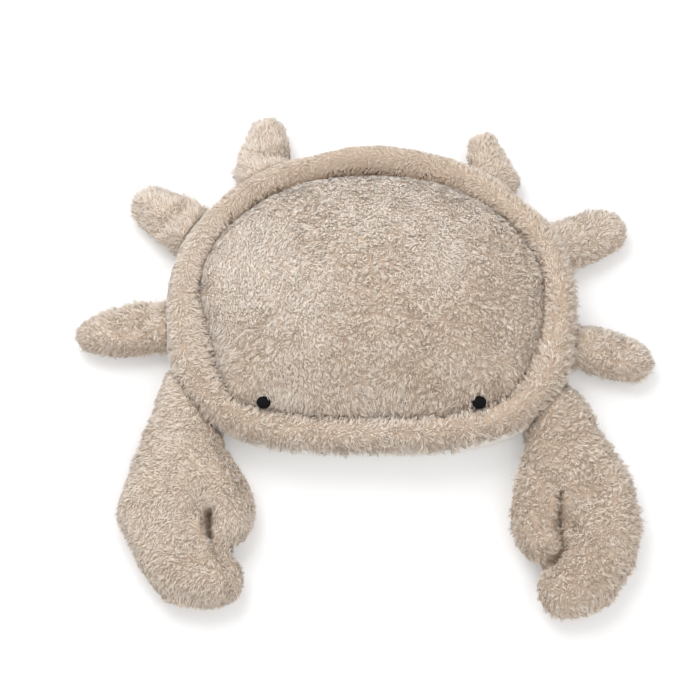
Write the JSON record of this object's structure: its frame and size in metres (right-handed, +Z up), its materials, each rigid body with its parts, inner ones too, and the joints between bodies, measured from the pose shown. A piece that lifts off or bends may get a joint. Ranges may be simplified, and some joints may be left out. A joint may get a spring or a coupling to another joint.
{
  "type": "plush crab",
  "caption": "Soft stuffed toy crab in shaggy beige fur, lying on its pale cloth belly, with a domed shell, a padded rim, pincer claws, stubby legs and black eyes.",
  "frame": {"origin": "on the floor, under the centre of the whole toy's bounding box, claws and legs included", "axes": "+Z up, -Y the way the face and the claws point, +X towards the legs on the right in a view from the front"},
  "size_m": [0.468, 0.4272, 0.0778],
  "materials": {
    "beige_fur": "matt long-pile fur",
    "belly_cloth": "matt smooth short-pile cloth",
    "stuffing": "loose white polyester fibre",
    "black_thread": "black, slight sheen"
  },
  "bodies": {
    "root": {"shell_top_panel": "beige_fur", "shell_rim_panel": "beige_fur", "belly_panel": "belly_cloth", "shell_stuffing": "stuffing", "left_eye": "black_thread", "right_eye": "black_thread", "left_claw_upper_panel": "beige_fur", "left_claw_lower_panel": "beige_fur", "right_claw_upper_panel": "beige_fur", "right_claw_lower_panel": "beige_fur", "left_rear_leg_upper_panel": "beige_fur", "left_rear_leg_lower_panel": "beige_fur", "left_middle_leg_upper_panel": "beige_fur", "left_middle_leg_lower_panel": "beige_fur", "left_front_leg_upper_panel": "beige_fur", "left_front_leg_lower_panel": "beige_fur", "right_rear_leg_upper_panel": "beige_fur", "right_rear_leg_lower_panel": "beige_fur", "right_middle_leg_upper_panel": "beige_fur", "right_middle_leg_lower_panel": "beige_fur", "right_front_leg_upper_panel": "beige_fur", "right_front_leg_lower_panel": "beige_fur", "left_claw_stuffing": "stuffing", "right_claw_stuffing": "stuffing", "left_rear_leg_stuffing": "stuffing", "left_middle_leg_stuffing": "stuffing", "left_front_leg_stuffing": "stuffing", "right_rear_leg_stuffing": "stuffing", "right_middle_leg_stuffing": "stuffing", "right_front_leg_stuffing": "stuffing"}
  },
  "joints": []
}
